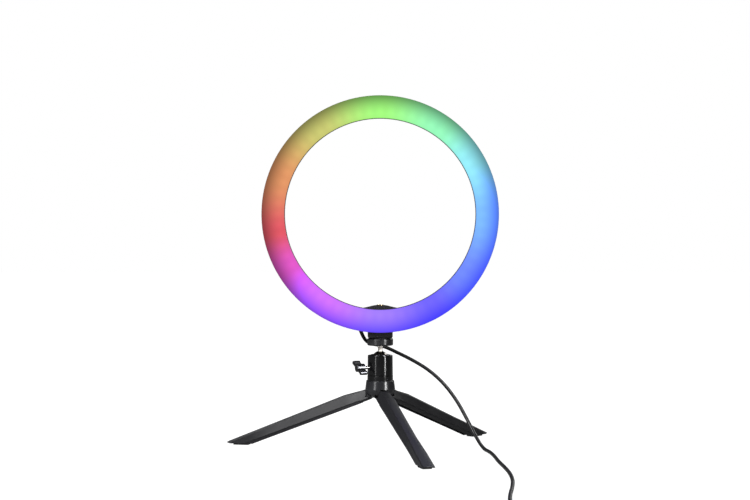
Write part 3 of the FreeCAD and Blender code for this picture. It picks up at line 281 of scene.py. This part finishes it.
def linear(channel):
    return channel / 12.92 if channel <= 0.04045 else ((channel + 0.055) / 1.055) ** 2.4


def lit_face():
    """The glowing cover: hue by angle, faint LED spots, darker towards the rims."""
    material, tree, shader = new_material("lit_cover")
    point = object_point(tree)
    split = add(tree, "ShaderNodeSeparateXYZ")
    join(tree, point, split.inputs[0])

    def maths(operation, first, second=None):
        node = add(tree, "ShaderNodeMath", operation=operation)
        for slot_number, value in enumerate((first, second)):
            if value is None:
                continue
            if isinstance(value, (int, float)):
                node.inputs[slot_number].default_value = value
            else:
                join(tree, value, node.inputs[slot_number])
        return node.outputs[0]

    across = split.outputs["X"]
    up = maths("SUBTRACT", split.outputs["Z"], RING_CENTRE.z)
    turn = maths("ARCTAN2", across, up)
    share = maths("FRACT", maths("ADD", maths("DIVIDE", turn, 2 * math.pi), 1.0))
    radius = maths("SQRT", maths("ADD", maths("MULTIPLY", across, across), maths("MULTIPLY", up, up)))

    ramp = add(tree, "ShaderNodeValToRGB")
    ramp.color_ramp.interpolation = "EASE"
    elements = ramp.color_ramp.elements
    while len(elements) > 1:
        elements.remove(elements[-1])
    for number, (degrees, colour) in enumerate(RING_COLOURS + ((360, RING_COLOURS[0][1]),)):
        stop = elements[0] if number == 0 else elements.new(degrees / 360)
        stop.position = degrees / 360
        stop.color = (*[linear(c) / BRIGHTEST for c in colour], 1)
    join(tree, share, ramp.inputs["Fac"])

    spots = maths("COSINE", maths("MULTIPLY", turn, float(LED_COUNT)))
    depth = maths("DIVIDE", maths("SUBTRACT", radius, RING_HOLE), RING_RADIUS - RING_HOLE)
    profile = add(tree, "ShaderNodeValToRGB")
    bright = profile.color_ramp.elements
    levels = (
        (0.0, 0.85),
        (0.05, 0.98),
        (0.22, 1.0),
        (0.36, 0.93),
        (0.52, 0.80),
        (0.68, 0.64),
        (0.82, 0.49),
        (0.93, 0.38),
        (1.0, 0.31),
    )
    bright[0].position = levels[0][0]
    bright[1].position = levels[-1][0]
    for place, level in levels[1:-1]:
        bright.new(place)
    for element, (place, level) in zip(bright, levels):
        element.color = (level, level, level, 1)
    join(tree, depth, profile.inputs["Fac"])
    from_row = maths("MULTIPLY", maths("SUBTRACT", depth, LED_ROW), LED_ROW_SHARPNESS)
    near_row = maths("MAXIMUM", maths("SUBTRACT", 1.0, maths("ABSOLUTE", from_row)), 0.0)
    spot_gain = maths("ADD", 1.0, maths("MULTIPLY", maths("MULTIPLY", spots, near_row), SPOT_CONTRAST))
    strength = maths("MULTIPLY", maths("MULTIPLY", profile.outputs["Color"], BRIGHTEST), spot_gain)

    glow = add(tree, "ShaderNodeVectorMath", operation="SCALE")
    join(tree, ramp.outputs["Color"], glow.inputs[0])
    join(tree, strength, glow.inputs["Scale"])
    full = add(tree, "ShaderNodeVectorMath", operation="MINIMUM")
    join(tree, glow.outputs[0], full.inputs[0])
    full.inputs[1].default_value = (1, 1, 1)
    join(tree, full.outputs[0], shader.inputs["Emission Color"])
    shader.inputs["Emission Strength"].default_value = 1.0
    shader.inputs["Base Color"].default_value = (0.005, 0.005, 0.005, 1)
    shader.inputs["Roughness"].default_value = 0.5
    shader.inputs["Specular IOR Level"].default_value = 0.06
    return material


# Nodes whose finish differs a little from that of their slot in the record.
OVERRIDES = {
    "mounting_plate": "black_nylon",
    "left_leg": "leg_nylon",
    "front_leg": "leg_nylon",
    "right_leg": "leg_nylon",
}
MATERIALS = {
    "black_shell": moulded("black_shell", (0.026, 0.0265, 0.030), (0.034, 0.0345, 0.039), 0.38, 0.05),
    "circuit_board": moulded("circuit_board", (0.70, 0.72, 0.70), (0.80, 0.82, 0.80), 0.45, 0.05),
    "white_film": moulded("white_film", (0.80, 0.80, 0.79), (0.88, 0.88, 0.87), 0.6, 0.05),
    "led_package": moulded("led_package", (0.85, 0.78, 0.5), (0.9, 0.84, 0.6), 0.3, 0.05),
    "screw_steel": metal("screw_steel", (0.05, 0.05, 0.055), (0.09, 0.09, 0.10), 0.35, 0.06),
    "brass": metal("brass", (0.62, 0.44, 0.20), (0.72, 0.54, 0.28), 0.28, 0.06, 0.3),
    "lead_rubber": moulded("lead_rubber", (0.016, 0.016, 0.018), (0.026, 0.026, 0.029), 0.34, 0.05, edge=0),
    "bare_wire": moulded("bare_wire", (0.30, 0.02, 0.02), (0.42, 0.04, 0.03), 0.4, 0.05),
    "black_metal": moulded(
        "black_metal", (0.006, 0.006, 0.0068), (0.010, 0.010, 0.0112), 0.13, 0.02, 900.0, 0.000004, 0.45
    ),
    "pad_rubber": moulded("pad_rubber", (0.012, 0.012, 0.012), (0.022, 0.022, 0.022), 0.7, 0.06),
    "nickel": metal("nickel", (0.42, 0.405, 0.38), (0.52, 0.50, 0.47), 0.24, 0.05, 0.4),
    "chrome": painted_shade_ball_and_stem(),
    "nylon": moulded("nylon", (0.62, 0.61, 0.56), (0.70, 0.69, 0.64), 0.5, 0.05),
    "dark_steel": metal("dark_steel", (0.075, 0.076, 0.082), (0.115, 0.116, 0.125), 0.26, 0.05),
    "black_nylon": moulded(
        "black_nylon", (0.036, 0.0366, 0.041), (0.045, 0.0458, 0.051), 0.24, 0.03, 2200.0, 0.00001, 0.5
    ),
    "tie_plastic": moulded("tie_plastic", (0.012, 0.012, 0.012), (0.02, 0.02, 0.02), 0.4, 0.05),
    "button_rubber": moulded("button_rubber", (0.10, 0.10, 0.105), (0.13, 0.13, 0.135), 0.6, 0.05),
    "plug_steel": metal("plug_steel", (0.55, 0.55, 0.56), (0.66, 0.66, 0.67), 0.2, 0.05),
    "white_plastic": moulded("white_plastic", (0.75, 0.75, 0.75), (0.82, 0.82, 0.82), 0.4, 0.05),
}
MATERIALS["diffuser"] = lit_face()
MATERIALS["leg_nylon"] = moulded(
    "leg_nylon", (0.024, 0.0244, 0.028), (0.031, 0.0315, 0.036), 0.42, 0.05, 1800.0, 0.00003, 0.36
)


def finish_nodes():
    """Each CAD node gets the material of its slot in the record."""
    for part in frame["record"]["subparts"]:
        thing = frame["nodes"][part["node"]]
        material = MATERIALS[OVERRIDES.get(part["node"], part["material_slot"])]
        if not thing.material_slots:
            thing.data.materials.append(material)
        for entry in thing.material_slots:
            entry.link = "OBJECT"
            entry.material = material


finish_nodes()


# ------------------------------------------------------------ the lead

LOOP_ROUTE = (
    (-22.8, 1.0, 133.6),
    (-18.6, 4.9, 120.9),
    (-10.5, 16.0, 114.6),
    (-3.75, 18.9, 113.4),
)
NECK_ROUTE = (
    (-3.75, 18.9, 113.4),
    (3.0, 21.8, 112.2),
    (18.6, 21.6, 104.9),
    (28.05, 20.9, 100.3),
)
LEAD_ROUTE = (
    (28.05, 20.9, 100.3),
    (37.5, 20.2, 95.7),
    (55.5, 18.6, 84.6),
    (71.5, 16.6, 70.1),
    (85.3, 13.4, 51.9),
    (96.4, 8.0, 31.8),
    (105.0, -1.5, 14.6),
    (113.0, -18.0, 2.05),
    (118.5, -42.0, 2.05),
    (121.5, -76.0, 2.05),
    (123.0, -117.5, 2.05),
    (126.5, -161.0, 2.05),
    (129.0, -205.0, 2.05),
    (128.5, -252.0, 2.05),
    (124.5, -299.0, 2.05),
    (119.0, -344.0, 2.05),
    (116.0, -386.0, 2.05),
    (116.5, -411.5, 2.05),
    (114.5, -433.5, 2.05),
    (106.5, -453.5, 2.8),
    (89.0, -463.2, 4.8),
    (71.0, -464.4, 5.5),
)
TAIL_ROUTE = (
    (-11.0, -464.4, 5.5),
    (-26.0, -463.4, 4.4),
    (-41.5, -458.6, 2.6),
    (-54.5, -455.2, 2.1),
)
END_ROUTE = (
    (-83.5, -453.0, 8.6),
    (-98.5, -453.6, 6.6),
    (-111.5, -460.5, 5.0),
    (-118.0, -474.0, 4.2),
    (-119.5, -486.0, 4.2),
)
LEAD_RADIUS = 2.0
COIL_CENTRE = (-66.0, -480.1)
COIL_RADII = (25.6, 21.5, 17.4)
COIL_LEVELS = (2.1, 6.2, 10.3)
TURN_POINTS = 16


def coil_points():
    """Nine turns, laid three wide and three high; each layer winds in, out, in."""
    points = []
    columns = []
    for layer, level in enumerate(COIL_LEVELS):
        radii = COIL_RADII if layer % 2 == 0 else COIL_RADII[::-1]
        columns += [(radius, level) for radius in radii]
    total = len(columns) * TURN_POINTS
    for step in range(total + 1):
        place = min(step / TURN_POINTS, len(columns) - 0.001)
        number = int(place)
        share = place - number
        blend = max(0.0, min(1.0, (share - 0.75) / 0.25))
        here = columns[number]
        following = columns[min(number + 1, len(columns) - 1)]
        radius = here[0] + (following[0] - here[0]) * blend
        level = here[1] + (following[1] - here[1]) * blend
        angle = math.radians(90) + 2 * math.pi * step / TURN_POINTS
        points.append(
            (
                COIL_CENTRE[0] + radius * math.cos(angle),
                COIL_CENTRE[1] + radius * math.sin(angle),
                level,
            )
        )
    return points


def route_curve(name, points, radius):
    """A smooth open NURBS spline with the route's points as its control points."""
    data = bpy.data.curves.new(name, "CURVE")
    data.dimensions = "3D"
    spline = data.splines.new("NURBS")
    spline.points.add(len(points) - 1)
    for entry, point in zip(spline.points, points):
        entry.co = (*[value * MM for value in point], 1.0)
    spline.order_u = 3
    spline.use_endpoint_u = True
    spline.resolution_u = 10
    data.bevel_depth = radius * MM
    data.bevel_resolution = 5
    data.use_fill_caps = True
    thing = bpy.data.objects.new(name, data)
    scene.collection.objects.link(thing)
    return thing


def centre_line(points):
    """The points of the smooth line itself, read from the spline with no bevel."""
    probe = route_curve("probe", points, 0.0)
    probe.data.use_fill_caps = False
    mesh = bpy.data.meshes.new_from_object(probe)
    line = [tuple(vertex.co) for vertex in mesh.vertices]
    bpy.data.meshes.remove(mesh)
    bpy.data.objects.remove(probe)
    return line


def tube_mesh(name, points, radius):
    """The same spline as a mesh tube."""
    curve = route_curve("probe", points, radius)
    mesh = bpy.data.meshes.new_from_object(curve)
    mesh.name = name
    bpy.data.objects.remove(curve)
    thing = bpy.data.objects.new(name, mesh)
    scene.collection.objects.link(thing)
    for polygon in mesh.polygons:
        polygon.use_smooth = True
    return thing


def dress(thing, material):
    thing.data.materials.clear()
    thing.data.materials.append(MATERIALS[material])


def bending_span(name, points, node):
    """A span of the lead as a mesh tube, in place of the CAD node that it hides."""
    line = centre_line(points)
    thing = tube_mesh(name, points, LEAD_RADIUS)
    dress(thing, "lead_rubber")
    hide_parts(node)
    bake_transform(thing)


def lead():
    bending_span("lead_loop", LOOP_ROUTE, "cord_loop")
    bending_span("lead_neck", NECK_ROUTE, "cord_neck")
    bending_span("lead_run", LEAD_ROUTE, "cord_lead")

    points = TAIL_ROUTE + tuple(coil_points()) + END_ROUTE
    coil = route_curve("lead_coil", points, LEAD_RADIUS)
    dress(coil, "lead_rubber")
    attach(coil, "tripod")
    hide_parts("cord_tail", "cord_coil", "cord_end")
    line = centre_line(points)


lead()


# ------------------------------------------------------------ stage and light

# Each softbox: azimuth from the camera's side (right is positive), height, distance, width, length, watts,
# and whether it lights matt surfaces too or is only seen in gloss.
SOFTBOXES = (
    ("strip_left", -43.0, 0.45, 1.6, 0.20, 1.5, 8.5, False),
    ("strip_right", 46.0, 0.45, 1.6, 0.20, 1.5, 36.0, False),
    ("front_high", -34.0, 1.25, 1.6, 1.3, 0.9, 29.0, True),
    ("rear_right", 140.0, 0.9, 1.5, 0.9, 1.0, 9.0, True),
    ("overhead", 168.0, 1.6, 0.7, 1.2, 1.2, 2.5, True),
)
SURROUND_LIGHT = 0.055
AIM_HEIGHT = 0.09
TABLE_HALF = 6.0
TABLE_LEVEL = -0.0002


def stage_and_light():
    """A white table that runs out of view, a white surround and the softboxes."""
    mesh = bpy.data.meshes.new("table")
    corners = ((-1, -1), (1, -1), (1, 1), (-1, 1))
    mesh.from_pydata(
        [(across * TABLE_HALF, along * TABLE_HALF, TABLE_LEVEL) for across, along in corners],
        [],
        [(0, 1, 2, 3)],
    )
    table = bpy.data.objects.new("table", mesh)
    scene.collection.objects.link(table)
    material, tree, shader = new_material("table_white")
    shader.inputs["Base Color"].default_value = (0.30, 0.30, 0.30, 1)
    shader.inputs["Roughness"].default_value = 0.9
    shader.inputs["Specular IOR Level"].default_value = 0.1
    shader.inputs["Emission Color"].default_value = (1, 1, 1, 1)
    seen = add(tree, "ShaderNodeLightPath").outputs["Is Camera Ray"]
    join(tree, remap(tree, seen, 0.0, 1.0, SURROUND_LIGHT, 1.0), shader.inputs["Emission Strength"])
    table.data.materials.append(material)

    world = bpy.data.worlds.new("studio")
    scene.world = world
    world.use_nodes = True
    background = world.node_tree.nodes["Background"]
    background.inputs["Color"].default_value = (1, 1, 1, 1)
    seen = add(world.node_tree, "ShaderNodeLightPath").outputs["Is Camera Ray"]
    level = remap(world.node_tree, seen, 0.0, 1.0, SURROUND_LIGHT, 1.0)
    join(world.node_tree, level, background.inputs["Strength"])

    for name, azimuth, height, reach, width, tall, energy, lights_matt in SOFTBOXES:
        data = bpy.data.lights.new(name, "AREA")
        data.shape = "RECTANGLE"
        data.size = width
        data.size_y = tall
        data.energy = energy
        light = bpy.data.objects.new(name, data)
        light.visible_diffuse = lights_matt
        angle = math.radians(azimuth)
        light.location = (reach * math.sin(angle), -reach * math.cos(angle), height)
        aim = Vector((0, 0, AIM_HEIGHT)) - light.location
        light.rotation_euler = aim.to_track_quat("-Z", "Y").to_euler()
        scene.collection.objects.link(light)
    scene.view_settings.view_transform = "Standard"


stage_and_light()
